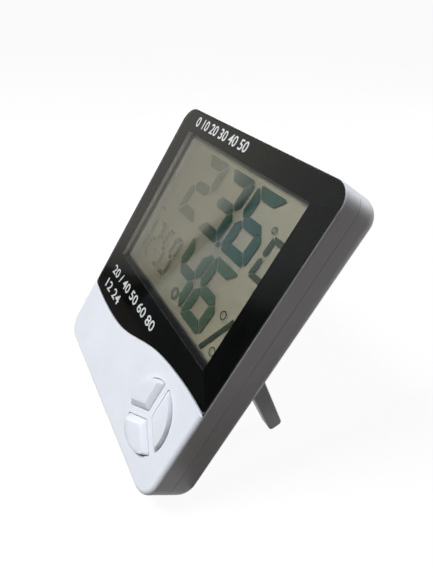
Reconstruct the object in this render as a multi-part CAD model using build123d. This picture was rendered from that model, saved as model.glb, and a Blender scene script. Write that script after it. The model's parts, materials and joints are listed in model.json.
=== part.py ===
from build123d import *
import os
from math import acos, asin, atan, atan2, cos, degrees, hypot, pi, radians, sin, sqrt, tan

# Desk thermometer, hygrometer and clock with a large liquid crystal display.
# Every piece is drawn on the upright clock, in millimetres: x to the right, y from the
# front face to the back, z up from the underside. The last section leans the whole
# clock back on its open stand, as it stands on a table.

# Case
CASE_W = 98.0
CASE_H = 110.0
CASE_D = 19.0
TOP_CORNER_R = 6.5
BOTTOM_CORNER_R = 8.0
FRONT_EDGE_R = 1.6
BACK_EDGE_R = 6.5
WALL = 2.0
SPLIT_Y = 7.5  # depth of the joint between the two shells
GROOVE_W = 0.2
GROOVE_DEEP = 0.12
LIP_T = 0.9
LIP_H = 1.2
LIP_GAP = 0.1
OVERRUN = 1.0  # how far a cutting solid runs past what it cuts

# Front window: a clear lens set in above the wavy edge of the button panel
STEP = 0.8  # the panel stands this far proud of the lens
STEP_BEVEL = 0.5
RIM = 0.5  # case left beside the lens
LENS_T = 0.4
LENS_GAP = 0.1
LENS_FOOT_R = 1.5
MASK_T = 0.1
TAPE_T = 0.15
TAPE_W = 3.0
PLATE_T = 1.35
WINDOW_X = -1.2  # the display sits a little left of the middle
WINDOW_SIDE = 9.5  # mean width of the border beside the window
WINDOW_DROP = 8.8  # from the top of the case
WINDOW_FOOT = 43.8
SIGHT_GAP = 0.3
WAVE_X_SHARES = (-0.53, -0.27, -0.10, 0.10, 0.27, 0.53)  # of the case width
WAVE_Z_SHARES = (0.2327, 0.2182, 0.234, 0.2932, 0.3209, 0.32)  # of the case height

# Liquid crystal display
GLASS_SIDE = 1.5  # glass hidden beside the window
GLASS_END = 1.0  # glass hidden above and below the window
GLASS_T = 0.55
CONTACT_LEDGE = 1.8
FILM_T = 0.2
FILM_MARGIN = 0.5
FILM_LEFT = 5.5
FILM_FOOT = 3.1
REFLECTOR_T = 0.3
FRAME_WALL = 1.0
FRAME_GAP = 0.2
FRAME_LEDGE = 2.0
ZEBRA_T = 1.4
ZEBRA_GAP = 0.1

# Board and what is soldered to it
BOARD_T = 1.2
BOARD_GAP = 0.5  # from the side walls
BOARD_FOOT = 6.5
BOARD_CLEAR = 0.4  # from the battery bay and the stand pocket
BLOB_R = 7.0
BLOB_H = 1.6
BLOB_EDGE_R = 1.2
BLOB_X = 6.0
BLOB_RISE = 6.0  # above the middle of the window
CRYSTAL_R = 1.0
CRYSTAL_L = 6.0
CRYSTAL_X = 22.0
CRYSTAL_DROP = 6.0  # below the middle of the window
CAPACITOR_R = 2.5
CAPACITOR_H = 5.4
CAPACITOR_EDGE_R = 0.4
CAPACITOR_SIDE = 18.0  # from the right side of the case
CAPACITOR_DROP = 21.0  # from the top of the case
CHIP_L = 2.0
CHIP_W = 1.2
CHIP_T = 0.6
CHIP_COUNT = 8
CHIP_RING_R = 11.0
SENSOR_W = 8.0
SENSOR_H = 10.0
SENSOR_T = 2.6
SENSOR_SIDE = 13.0  # from the left side of the case
SENSOR_RISE = 7.0  # above the stand pocket
SENSOR_SLOT_W = 0.8
SENSOR_SLOT_COUNT = 5
BEAD_R = 1.3
BEAD_RISE = 3.0  # above the humidity sensor
BEAD_STAND = 3.6
LEAD_R = 0.25
LEAD_SPREAD = 0.8

# Buttons: three keys cut from one disc, parted by a web with three arms
BUTTON_SIDE = 19.2  # from the right side of the case
BUTTON_Z = 18.6
BUTTON_R = 12.0
WEB_W = 3.0
KEY_RISE = 1.6
KEY_BEVEL = 2.0
KEY_DRAFT = 0.25
KEY_CORNER_R = 0.6
KEY_GAP = 0.25
KEY_TRAVEL = 0.5
FLANGE_W = 1.0
FLANGE_T = 1.0
STEM_R = 1.6
SWITCH_REACH = 7.4
SWITCH_W = 6.0
SWITCH_H = 3.4
SWITCH_EDGE = 0.3
PLUNGER_R = 1.75
PLUNGER_PROUD = 1.6
PLUNGER_SUNK = 1.2
PLUNGER_GAP = 0.08
KEY_NAMES = ("adjust", "mode", "memory")  # anticlockwise
FIRST_KEY_ANGLE = 30.0

# Stand: two legs on one bar, folded flush into the back
LEG_W = 5.8
LEG_OUT = 36.0  # outer face of each leg, from the middle
LEG_L = 44.0
LEG_BASE_T = 6.6
LEG_TIP_T = 5.4
LEG_TIP_R = 1.5
LEG_EDGE_R = 0.5
HINGE_Z = 50.3
HINGE_INSET = 3.4  # from the back face to the hinge axis
BARREL_R = 3.5
HEEL_R = 4.2
FLOOR_GAP = 0.1
STAND_GAP = 0.3
STAND_WALL = 1.5
STAND_FLOOR_T = 1.3
PIVOT_R = 1.5
PIVOT_GAP = 0.05
PIVOT_EDGE = 0.2
OPEN_ANGLE = 54.7

# Battery bay, for one size AAA cell lying across the back
CELL_R = 5.25
CELL_L = 43.5
CELL_EDGE_R = 0.6
NUB_R = 1.9
NUB_L = 1.0
BAY_X = 24.4
BAY_Z = 33.5
CELL_GAP = 0.25
BAY_WALL = 1.2
CONTACT_T = 0.4
CONTACT_W = 7.0
CONTACT_TAB = 2.4
CONTACT_REACH = 2.6
WIRE_R = 0.35
SPRING_BASE_R = 3.6
SPRING_TIP_R = 2.0
SPRING_TURNS = 2.5
DOOR_T = 1.6
DOOR_GAP = 0.25
DOOR_SEAT = 1.1
DOOR_CORNER_R = 1.5
DOOR_EDGE_R = 0.3
TONGUE_W = 6.0
TONGUE_L = 1.2
TONGUE_X = 14.0
THUMB_W = 12.0
THUMB_H = 3.4
THUMB_DEEP = 1.3
GRIP_COUNT = 4
GRIP_W = 14.0
GRIP_T = 0.7
GRIP_PITCH = 1.8
GRIP_DEEP = 0.4

# Screws and their bosses
CASE_SCREW_Z = 7.8
CASE_SCREW_CLEAR = 0.8  # from the button flanges
TOP_SCREW_SIDE = 12.0
TOP_SCREW_DROP = 4.3
WELL_R = 2.4
WELL_DEEP = 6.0
WELL_WALL = 1.1
SCREW_WEB = 2.0
BOSS_R = 2.1
BOSS_GAP = 0.1
SCREW_R = 1.1
SCREW_TIP_GAP = 1.2  # from the lens plate to the tip
HEAD_R = 2.1
HEAD_T = 1.5
HEAD_SLOT_W = 0.5
RECESS_SHARE = 0.65  # crossed recess, of the head's diameter
HEAD_SLOT_DEEP = 0.7
SCREW_CLEAR = 0.3
PILOT_GAP = 0.05
BOARD_SCREW_SIDE = 3.9
BOARD_SCREW_RISE = 19.0
BOARD_SCREW_DROP = 13.0
BOARD_BOSS_R = 1.6
BOARD_SCREW_R = 0.8
BOARD_SCREW_L = 5.6
BOARD_HEAD_R = 1.6
BOARD_HEAD_T = 0.9
BOARD_HEAD_SLOT_DEEP = 0.4

# Back: hanger, sounder and vents
HANGER_R = 4.0
HANGER_SLOT_R = 2.0
HANGER_DROP = 17.0  # from the top of the case
HANGER_RISE = 6.0
SOUNDER_X = 22.0  # left of the middle
SOUNDER_DROP = 25.0  # from the top of the case
SOUNDER_R = 10.0
SOUNDER_T = 0.3
CERAMIC_R = 7.0
CERAMIC_T = 0.2
SOUNDER_RING_H = 1.0
SOUNDER_RING_W = 1.4
SOUND_HOLE_R = 0.8
SOUND_HOLE_COUNT = 6
SOUND_RING_R = 4.0
VENT_L = 7.0
VENT_W = 1.3
VENT_COUNT = 5
VENT_PITCH = 3.0

# Depths of the stack behind the lens, front to back
MASK_Y = STEP + LENS_T
TAPE_Y = MASK_Y + MASK_T
POCKET_Y = TAPE_Y + TAPE_T
PLATE_BACK = POCKET_Y + PLATE_T
FRONT_GLASS_Y = PLATE_BACK + FILM_T
REAR_GLASS_Y = FRONT_GLASS_Y + GLASS_T
REFLECTOR_Y = REAR_GLASS_Y + GLASS_T
FRAME_LEDGE_Y = REFLECTOR_Y + REFLECTOR_T

# Depths that follow from the back: the board lies just before the floor of the stand pocket
BACK_INNER = CASE_D - WALL
HINGE_Y = CASE_D - HINGE_INSET
STAND_FLOOR_Y = HINGE_Y - BARREL_R - FLOOR_GAP
BOARD_BACK = STAND_FLOOR_Y - STAND_FLOOR_T - BOARD_CLEAR
BOARD_Y = BOARD_BACK - BOARD_T
WELL_FLOOR_Y = CASE_D - WELL_DEEP
REAR_BOSS_Y = WELL_FLOOR_Y - SCREW_WEB
SCREW_L = WELL_FLOOR_Y - PLATE_BACK - SCREW_TIP_GAP

# Places shared by several pieces
WINDOW_W = CASE_W - 2 * WINDOW_SIDE
WINDOW_H = CASE_H - WINDOW_DROP - WINDOW_FOOT
WINDOW_Z = WINDOW_FOOT + WINDOW_H / 2
GLASS_W = WINDOW_W + 2 * GLASS_SIDE
GLASS_H = WINDOW_H + 2 * GLASS_END
BUTTON_X = CASE_W / 2 - BUTTON_SIDE
LEG_TIP_Z = HINGE_Z - LEG_L
LEG_IN = LEG_OUT - LEG_W
CELL_Y = CASE_D - DOOR_T - CELL_GAP - CELL_R
BAY_TOP = BAY_Z + CELL_R + CELL_GAP
BAY_FOOT = BAY_Z - CELL_R - CELL_GAP
BAY_FLOOR_Y = CELL_Y - CELL_R - CELL_GAP
DOOR_X = BAY_X + DOOR_SEAT
DOOR_TOP = BAY_TOP + DOOR_SEAT
DOOR_FOOT = BAY_FOOT - DOOR_SEAT
BLOCK_TOP = BAY_TOP + BAY_WALL
BLOCK_FOOT = BAY_FOOT - BAY_WALL
BLOCK_X = BAY_X + BAY_WALL
FRAME_X = GLASS_W / 2 + FRAME_GAP + FRAME_WALL
FRAME_REACH = GLASS_H / 2 + FRAME_GAP + FRAME_WALL
BOARD_X = CASE_W / 2 - WALL - BOARD_GAP
BOARD_TOP = WINDOW_Z + FRAME_REACH
BLOB_Z = WINDOW_Z + BLOB_RISE
SENSOR_X = SENSOR_SIDE - CASE_W / 2
SENSOR_Z = HINGE_Z + HEEL_R + STAND_GAP + STAND_WALL + SENSOR_RISE
BEAD_Z = SENSOR_Z + SENSOR_H / 2 + BEAD_RISE
SOUNDER_Z = CASE_H - SOUNDER_DROP
HANGER_Z = CASE_H - HANGER_DROP
CASE_SCREW_X = BUTTON_X - BUTTON_R - FLANGE_W - CASE_SCREW_CLEAR - BOSS_R
TOP_SCREW_X = CASE_W / 2 - TOP_SCREW_SIDE
CASE_SCREWS = [
    (side * across, up)
    for across, up in ((CASE_SCREW_X, CASE_SCREW_Z), (TOP_SCREW_X, CASE_H - TOP_SCREW_DROP))
    for side in (-1, 1)
]
BOARD_SCREWS = [
    (side * (CASE_W / 2 - BOARD_SCREW_SIDE), up)
    for side in (-1, 1)
    for up in (WINDOW_Z - BOARD_SCREW_DROP, WINDOW_Z + BOARD_SCREW_RISE)
]
KEY_ANGLES = {
    name: FIRST_KEY_ANGLE + number * degrees(2 * pi) / len(KEY_NAMES)
    for number, name in enumerate(KEY_NAMES)
}


# Drawing helpers
def slab(profile, front, back):
    """Profile drawn in x and z, as a solid between two depths."""
    return extrude(Plane.XZ.offset(-front) * profile, amount=front - back)


def beam(profile, left, right):
    """Profile drawn in y and z, as a solid between two places along x."""
    return extrude(Plane.YZ.offset(left) * profile, amount=right - left)


def block(left, right, front, back, foot, top):
    """Box between six faces."""
    centre = Pos((left + right) / 2, (front + back) / 2, (foot + top) / 2)
    return centre * Box(right - left, back - front, top - foot)


def panel(left, right, foot, top):
    """Rectangle in x and z between four edges."""
    return Pos((left + right) / 2, (foot + top) / 2) * Rectangle(right - left, top - foot)


def rod(across, up, radius, front, back):
    """Cylinder along the depth."""
    return slab(Pos(across, up) * Circle(radius), front, back)


def rounded(profile, radius):
    """Profile with all its corners rounded."""
    return fillet(profile.vertices(), radius)


def slot_rows(length, width, pitch, count):
    """Column of round-ended slots that lie along x."""
    return Sketch() + GridLocations(length, pitch, 1, count) * SlotOverall(length, width)


# Outlines of the front
def case_outline(inset=0):
    """Case outline, drawn in by an inset."""
    face = Pos(0, CASE_H / 2) * Rectangle(CASE_W - 2 * inset, CASE_H - 2 * inset)
    face = fillet(face.vertices().group_by(Axis.Y)[-1], TOP_CORNER_R - inset)
    return fillet(face.vertices().group_by(Axis.Y)[0], BOTTOM_CORNER_R - inset)


def above_wave(rise=0):
    """All of the front above the wavy edge of the button panel, moved up by a rise."""
    points = [
        (CASE_W * across, CASE_H * up + rise)
        for across, up in zip(WAVE_X_SHARES, WAVE_Z_SHARES)
    ]
    wave = Spline(*points)
    right, left = points[-1][0], points[0][0]
    ceiling = CASE_H + OVERRUN
    sides = Polyline(wave @ 1, (right, ceiling), (left, ceiling), wave @ 0)
    return make_face(Curve() + [wave, sides])


def lens_outline(inset=0):
    """Lens outline: inside the rim, down to the wave."""
    face = case_outline(RIM + inset) & above_wave(inset)
    feet = [corner for corner in face.vertices() if corner.Y < CASE_H / 2]
    return fillet(feet, LENS_FOOT_R)


def window_outline(margin=0):
    """Sight window of the display, grown by a margin."""
    outline = Rectangle(WINDOW_W + 2 * margin, WINDOW_H + 2 * margin)
    return Pos(WINDOW_X, WINDOW_Z) * outline


def key_outline(angle, side, radius, corner=KEY_CORNER_R):
    """One key's share of the button disc, its straight sides moved in from the dividing lines."""
    half = pi / len(KEY_NAMES)
    middle = radians(angle)
    turn = half - asin(side / radius)

    def on_disc(reach, bearing):
        return (BUTTON_X + reach * cos(bearing), BUTTON_Z + reach * sin(bearing))

    apex = on_disc(side / sin(half), middle)
    first = on_disc(radius, middle - turn)
    last = on_disc(radius, middle + turn)
    arc = ThreePointArc(first, on_disc(radius, middle), last)
    face = make_face(Curve() + [Line(apex, first), arc, Line(last, apex)])
    return rounded(face, corner)


# Shells
def outer_body():
    """Outside of the closed case, with the fine groove where the shells meet."""
    body = slab(case_outline(), 0, CASE_D)
    body = fillet(body.edges().group_by(Axis.Y)[-1], BACK_EDGE_R)
    body = fillet(body.edges().group_by(Axis.Y)[0], FRONT_EDGE_R)
    ring = case_outline() - case_outline(GROOVE_DEEP)
    return body - slab(ring, SPLIT_Y - GROOVE_W / 2, SPLIT_Y + GROOVE_W / 2)


def inner_room():
    """Hollow of the case: shallow behind the lens plate, deeper behind the button panel."""
    room = slab(case_outline(WALL), PLATE_BACK, BACK_INNER)
    room = fillet(room.edges().group_by(Axis.Y)[-1], BACK_EDGE_R - WALL)
    behind_panel = case_outline(WALL) - above_wave(-WALL)
    return room + slab(behind_panel, WALL, PLATE_BACK + OVERRUN)


def wave_step():
    """What is taken off the front above the wave, with a sloping edge along it."""
    slope = STEP_BEVEL / STEP
    low = Plane.XZ.offset(-STEP) * above_wave()
    high = Plane.XZ.offset(OVERRUN) * above_wave(-slope * (STEP + OVERRUN))
    return loft([low, high], ruled=True)


def front_shell():
    """Front shell: lens pocket, display opening, key openings, bosses and locating lip."""
    ahead = block(-CASE_W, CASE_W, -CASE_D, SPLIT_Y, -CASE_H, 2 * CASE_H)
    shell = (outer_body() - inner_room()) & ahead
    shell -= wave_step()
    shell -= slab(lens_outline(), 0, POCKET_Y)
    shell -= slab(window_outline(SIGHT_GAP), POCKET_Y - OVERRUN, PLATE_BACK + OVERRUN)
    lip = case_outline(WALL - LIP_T) - case_outline(WALL)
    shell += slab(lip, SPLIT_Y - OVERRUN, SPLIT_Y + LIP_H)
    for angle in KEY_ANGLES.values():
        opening = key_outline(angle, WEB_W / 2 - KEY_GAP, BUTTON_R + KEY_GAP)
        shell -= slab(opening, -OVERRUN, WALL + OVERRUN)
    for across, up in CASE_SCREWS:
        foot = WALL / 2 if up < CASE_H / 2 else PLATE_BACK - PLATE_T / 2
        shell += rod(across, up, BOSS_R, foot, REAR_BOSS_Y - BOSS_GAP)
        shell -= rod(across, up, SCREW_R + PILOT_GAP, WELL_FLOOR_Y - SCREW_L - BOSS_GAP, CASE_D)
    for across, up in BOARD_SCREWS:
        shell += rod(across, up, BOARD_BOSS_R, PLATE_BACK - PLATE_T / 2, BOARD_Y)
        depth = BOARD_BACK - BOARD_SCREW_L - BOSS_GAP
        shell -= rod(across, up, BOARD_SCREW_R + PILOT_GAP, depth, BOARD_Y + OVERRUN)
    return shell


def stand_pocket(wall=0, floor=0, leg_foot=LEG_TIP_Z - STAND_GAP):
    """Space that the folded stand takes in the back, grown by its walls and floor."""
    outer = LEG_OUT + STAND_GAP + wall
    inner = LEG_IN - STAND_GAP - wall
    front = STAND_FLOOR_Y - floor
    back = CASE_D + OVERRUN
    foot = HINGE_Z - BARREL_R - STAND_GAP - wall
    top = HINGE_Z + HEEL_R + STAND_GAP + wall
    space = block(-outer, outer, front, back, foot, top)
    for side in (-1, 1):
        left, right = sorted((side * inner, side * outer))
        space += block(left, right, front, back, leg_foot, HINGE_Z)
    return space


def rear_shell():
    """Rear shell: stand pocket, battery bay, screw wells, hanger, vents and sounder ring."""
    behind = block(-CASE_W, CASE_W, SPLIT_Y, 2 * CASE_D, -CASE_H, 2 * CASE_H)
    outside = outer_body()
    shell = (outside - inner_room()) & behind
    rebate = case_outline(WALL - LIP_T - LIP_GAP) - case_outline(WALL + OVERRUN)
    shell -= slab(rebate, SPLIT_Y, SPLIT_Y + LIP_H + LIP_GAP)

    walls = stand_pocket(STAND_WALL, STAND_FLOOR_T, 0)
    walls += block(
        -BLOCK_X, BLOCK_X, BAY_FLOOR_Y - BAY_WALL, CASE_D + OVERRUN, BLOCK_FOOT, BLOCK_TOP
    )
    for across, up in CASE_SCREWS:
        walls += rod(across, up, WELL_R + WELL_WALL, REAR_BOSS_Y, CASE_D)
    walls &= slab(case_outline(GROOVE_DEEP), 0, CASE_D)
    shell += walls & outside
    shell -= stand_pocket()
    pivot_reach = LEG_OUT + STAND_GAP + STAND_WALL + OVERRUN
    pivot = Pos(HINGE_Y, HINGE_Z) * Circle(PIVOT_R + PIVOT_GAP)
    shell -= beam(pivot, -pivot_reach, pivot_reach)

    shell -= block(-BAY_X, BAY_X, BAY_FLOOR_Y, CASE_D + OVERRUN, BAY_FOOT, BAY_TOP)
    shell -= slab(door_outline(DOOR_GAP), CASE_D - DOOR_T, CASE_D + OVERRUN)
    shell -= thumb_notch()
    for side in (-1, 1):
        left, right = sorted((side * (BAY_X - CONTACT_T - PILOT_GAP), side * BAY_X))
        tab_back = BOARD_BACK + CONTACT_TAB + PILOT_GAP
        foot, top = BAY_Z - PILOT_GAP, BLOCK_TOP + OVERRUN
        shell -= block(left, right, BOARD_BACK - PILOT_GAP, tab_back, foot, top)

    for across, up in CASE_SCREWS:
        shell -= rod(across, up, WELL_R, WELL_FLOOR_Y, CASE_D + OVERRUN)
        shell -= rod(across, up, SCREW_R + SCREW_CLEAR, REAR_BOSS_Y - OVERRUN, CASE_D)

    hanger = Pos(0, HANGER_Z) * Circle(HANGER_R)
    hanger += Pos(0, HANGER_Z + HANGER_RISE) * Circle(HANGER_SLOT_R)
    hanger += panel(-HANGER_SLOT_R, HANGER_SLOT_R, HANGER_Z, HANGER_Z + HANGER_RISE)
    shell -= slab(hanger, BACK_INNER - OVERRUN, CASE_D + OVERRUN)

    ring = Circle(SOUNDER_R) - Circle(SOUNDER_R - SOUNDER_RING_W)
    ring = Pos(-SOUNDER_X, SOUNDER_Z) * ring
    shell += slab(ring, BACK_INNER - SOUNDER_RING_H, BACK_INNER + WALL / 2)
    hole = Circle(SOUND_HOLE_R)
    holes = hole + PolarLocations(SOUND_RING_R, SOUND_HOLE_COUNT) * hole
    shell -= slab(Pos(-SOUNDER_X, SOUNDER_Z) * holes, BACK_INNER - OVERRUN, CASE_D + OVERRUN)
    vents = Pos(SENSOR_X, SENSOR_Z) * slot_rows(VENT_L, VENT_W, VENT_PITCH, VENT_COUNT)
    return shell - slab(vents, BACK_INNER - OVERRUN, CASE_D + OVERRUN)


# Window
def window_lens():
    """Clear lens, flush with the rim."""
    return slab(lens_outline(LENS_GAP), STEP, STEP + LENS_T)


def lens_mask():
    """Black print behind the lens, open at the display."""
    return slab(lens_outline(LENS_GAP) - window_outline(), MASK_Y, MASK_Y + MASK_T)


def lens_tape():
    """Adhesive band that holds the lens in its pocket."""
    band = lens_outline(LENS_GAP + MASK_T) - window_outline(TAPE_W)
    return slab(band, TAPE_Y, TAPE_Y + TAPE_T)


# Display
def glass_plate(front, thickness, height=GLASS_H):
    """One plate of the display cell, centred on the window."""
    plate = Pos(WINDOW_X, WINDOW_Z) * Rectangle(GLASS_W, height)
    return slab(plate, front, front + thickness)


def front_film():
    """Front polarizing film, short of the glass at the left and at the foot."""
    half_w, half_h = GLASS_W / 2, GLASS_H / 2
    sheet = panel(
        WINDOW_X - half_w + FILM_LEFT,
        WINDOW_X + half_w - FILM_MARGIN,
        WINDOW_Z - half_h + FILM_FOOT,
        WINDOW_Z + half_h - FILM_MARGIN,
    )
    return slab(sheet, PLATE_BACK, PLATE_BACK + FILM_T)


def zebra_z(side):
    """Height of the middle of a contact strip: side is 1 for the upper, -1 for the lower."""
    return WINDOW_Z + side * (GLASS_H / 2 - CONTACT_LEDGE + ZEBRA_GAP * 2 + ZEBRA_T / 2)


def zebra_strip(side, gap=0):
    """Rubber contact strip between the glass ledge and the board."""
    middle = zebra_z(side)
    reach, half = WINDOW_W / 2 + gap, ZEBRA_T / 2 + gap
    left, right = WINDOW_X - reach, WINDOW_X + reach
    return block(left, right, REAR_GLASS_Y, BOARD_Y, middle - half, middle + half)


def lcd_frame():
    """Frame that holds the display cell and both contact strips on the board."""
    middle = Pos(WINDOW_X, WINDOW_Z)
    outside = middle * Rectangle(2 * FRAME_X, 2 * FRAME_REACH)
    seat = middle * Rectangle(GLASS_W + 2 * FRAME_GAP, GLASS_H + 2 * FRAME_GAP)
    sight_h = GLASS_H - 2 * CONTACT_LEDGE - 2 * FRAME_LEDGE
    sight = middle * Rectangle(GLASS_W - 2 * FRAME_LEDGE, sight_h)
    frame = slab(outside - seat, PLATE_BACK, FRAME_LEDGE_Y)
    frame += slab(outside - sight, FRAME_LEDGE_Y, BOARD_Y)
    for side in (-1, 1):
        frame -= zebra_strip(side, ZEBRA_GAP)
    return frame


# Board
def main_board():
    """Circuit board: behind the display, past the battery bay and down to the keys."""
    plate = panel(-BOARD_X, BOARD_X, BLOCK_TOP + BOARD_CLEAR, BOARD_TOP)
    plate += panel(BLOCK_X + BOARD_CLEAR, BOARD_X, BOARD_FOOT, BOARD_TOP)
    plate += panel(BUTTON_X - BUTTON_R, BOARD_X, BOARD_FOOT, BLOCK_FOOT - BOARD_CLEAR)
    for place in BOARD_SCREWS:
        plate -= Pos(*place) * Circle(BOARD_SCREW_R + SCREW_CLEAR)
    return slab(plate, BOARD_Y, BOARD_BACK)


def controller_blob():
    """Controller chip under its drop of black resin."""
    drop = rod(BLOB_X, BLOB_Z, BLOB_R, BOARD_BACK, BOARD_BACK + BLOB_H)
    return fillet(drop.edges().group_by(Axis.Y)[-1], BLOB_EDGE_R)


def crystal():
    """Clock crystal in its metal can, lying on the board."""
    section = Pos(BOARD_BACK + CRYSTAL_R, WINDOW_Z - CRYSTAL_DROP) * Circle(CRYSTAL_R)
    return beam(section, CRYSTAL_X, CRYSTAL_X + CRYSTAL_L)


def capacitor():
    """Upright electrolytic capacitor."""
    across, up = CASE_W / 2 - CAPACITOR_SIDE, CASE_H - CAPACITOR_DROP
    can = rod(across, up, CAPACITOR_R, BOARD_BACK, BOARD_BACK + CAPACITOR_H)
    return fillet(can.edges().group_by(Axis.Y)[-1], CAPACITOR_EDGE_R)


def chip_parts():
    """Small resistors and capacitors round the controller."""
    chip = Pos(0, BOARD_BACK + CHIP_T / 2, 0) * Box(CHIP_L, CHIP_T, CHIP_W)
    ring = []
    for number in range(CHIP_COUNT):
        bearing = 2 * pi * number / CHIP_COUNT
        across = BLOB_X + CHIP_RING_R * cos(bearing)
        up = BLOB_Z + CHIP_RING_R * sin(bearing)
        ring.append(Pos(across, 0, up) * chip)
    return Part() + ring


def humidity_sensor():
    """Humidity sensor in its slotted housing, behind the vents."""
    shell = block(
        SENSOR_X - SENSOR_W / 2,
        SENSOR_X + SENSOR_W / 2,
        BOARD_BACK,
        BOARD_BACK + SENSOR_T,
        SENSOR_Z - SENSOR_H / 2,
        SENSOR_Z + SENSOR_H / 2,
    )
    pitch = SENSOR_H / (SENSOR_SLOT_COUNT + 1)
    slots = slot_rows(SENSOR_W - 2 * SENSOR_SLOT_W, SENSOR_SLOT_W, pitch, SENSOR_SLOT_COUNT)
    slots = Pos(SENSOR_X, SENSOR_Z) * slots
    top = BOARD_BACK + SENSOR_T
    return shell - slab(slots, top - SENSOR_SLOT_W, top + OVERRUN)


def thermistor():
    """Temperature bead on two leads that stand on the board."""
    middle = BOARD_BACK + BEAD_STAND
    bead = Pos(SENSOR_X, middle, BEAD_Z) * Sphere(BEAD_R)
    for side in (-1, 1):
        bead += rod(SENSOR_X + side * LEAD_SPREAD, BEAD_Z, LEAD_R, BOARD_BACK, middle)
    return bead


def sounder():
    """Piezo sounder: a brass disc with its ceramic layer, on the ring of the rear shell."""
    seat = BACK_INNER - SOUNDER_RING_H
    disc = rod(-SOUNDER_X, SOUNDER_Z, SOUNDER_R, seat - SOUNDER_T, seat)
    front = seat - SOUNDER_T - CERAMIC_T
    return disc + rod(-SOUNDER_X, SOUNDER_Z, CERAMIC_R, front, seat - SOUNDER_T)


# Keys and switches
def switch_place(angle):
    """Centre of the switch behind a key."""
    bearing = radians(angle)
    return (BUTTON_X + SWITCH_REACH * cos(bearing), BUTTON_Z + SWITCH_REACH * sin(bearing))


def key_cap(angle):
    """Key: bevelled top, skirt through the panel, flange behind it and a stem to the switch."""
    base = key_outline(angle, WEB_W / 2, BUTTON_R)
    top = key_outline(angle, WEB_W / 2 + KEY_BEVEL, BUTTON_R - KEY_DRAFT)
    cap = loft([Plane.XZ * base, Plane.XZ.offset(KEY_RISE) * top], ruled=True)
    cap += slab(base, 0, WALL)
    flange = key_outline(angle, WEB_W / 2 - FLANGE_W, BUTTON_R + FLANGE_W)
    cap += slab(flange, WALL, WALL + FLANGE_T)
    plunger_top = BOARD_Y - SWITCH_H - PLUNGER_PROUD
    return cap + rod(*switch_place(angle), STEM_R, WALL, plunger_top)


def switch_body(angle):
    """Square push switch on the front of the board, hollow for its plunger."""
    across, up = switch_place(angle)
    face = BOARD_Y - SWITCH_H
    can = slab(Pos(across, up) * rounded(Rectangle(SWITCH_W, SWITCH_W), SWITCH_EDGE), face, BOARD_Y)
    depth = face + PLUNGER_SUNK + KEY_TRAVEL + PLUNGER_GAP
    return can - rod(across, up, PLUNGER_R + PLUNGER_GAP, face - OVERRUN, depth)


def switch_plunger(angle):
    """Plunger of the push switch, under the stem of its key."""
    face = BOARD_Y - SWITCH_H
    return rod(*switch_place(angle), PLUNGER_R, face - PLUNGER_PROUD, face + PLUNGER_SUNK)


# Battery bay
def door_outline(gap=0):
    """Battery door outline, grown by the gap round it."""
    plate = rounded(
        panel(-DOOR_X - gap, DOOR_X + gap, DOOR_FOOT - gap, DOOR_TOP + gap), DOOR_CORNER_R + gap
    )
    half = TONGUE_W / 2 + gap
    for across in (-TONGUE_X, TONGUE_X):
        plate += panel(across - half, across + half, DOOR_FOOT - TONGUE_L - gap, BAY_Z)
    return plate


def thumb_notch():
    """Sloping hollow above the door for a thumb nail."""
    foot = DOOR_TOP + DOOR_GAP
    profile = Polyline(
        (CASE_D + OVERRUN, foot - OVERRUN),
        (CASE_D - THUMB_DEEP, foot - OVERRUN),
        (CASE_D - THUMB_DEEP, foot),
        (CASE_D, foot + THUMB_H),
        (CASE_D + OVERRUN, foot + THUMB_H),
        close=True,
    )
    return beam(make_face(profile), -THUMB_W / 2, THUMB_W / 2)


def battery_door():
    """Lift-off battery door, flush with the back, with grip ribs near its top edge."""
    plate = slab(door_outline(), CASE_D - DOOR_T, CASE_D)
    plate = fillet(plate.edges().group_by(Axis.Y)[-1], DOOR_EDGE_R)
    grooves = slot_rows(GRIP_W, GRIP_T, GRIP_PITCH, GRIP_COUNT)
    grooves = Pos(0, DOOR_TOP - GRIP_PITCH * (GRIP_COUNT + 1) / 2) * grooves
    return plate - slab(grooves, CASE_D - GRIP_DEEP, CASE_D + OVERRUN)


def battery_cell():
    """Cell with its raised positive cap at the right."""
    shoulder = BAY_X - CONTACT_T - NUB_L
    section = Pos(CELL_Y, BAY_Z) * Circle(CELL_R)
    can = beam(section, shoulder - CELL_L, shoulder)
    can = fillet(can.edges().filter_by(GeomType.CIRCLE), CELL_EDGE_R)
    return can + beam(Pos(CELL_Y, BAY_Z) * Circle(NUB_R), shoulder - OVERRUN, shoulder + NUB_L)


def contact_plate(side):
    """Contact plate at one end of the bay, with a tab up to the board."""
    left, right = sorted((side * (BAY_X - CONTACT_T), side * BAY_X))
    half = CONTACT_W / 2
    plate = block(left, right, CELL_Y - half, CELL_Y + half, BAY_Z - half, BAY_Z + half)
    tab_top = BLOCK_TOP + BOARD_CLEAR + CONTACT_REACH
    tab = block(left, right, BOARD_BACK, BOARD_BACK + CONTACT_TAB, BAY_Z, tab_top)
    return plate + tab


def biarc(start, start_way, end, end_way):
    """Two arcs that run on smoothly from one point and direction to another."""
    step = end - start
    ways = start_way + end_way
    fall = 2 * (1 - start_way.dot(end_way))
    run = (sqrt(step.dot(ways) ** 2 + fall * step.dot(step)) - step.dot(ways)) / fall
    middle = (start + start_way * run + end - end_way * run) / 2
    first = TangentArc(start, middle, tangent=start_way)
    return [first, TangentArc(middle, end, tangent=first % 1)]


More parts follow.
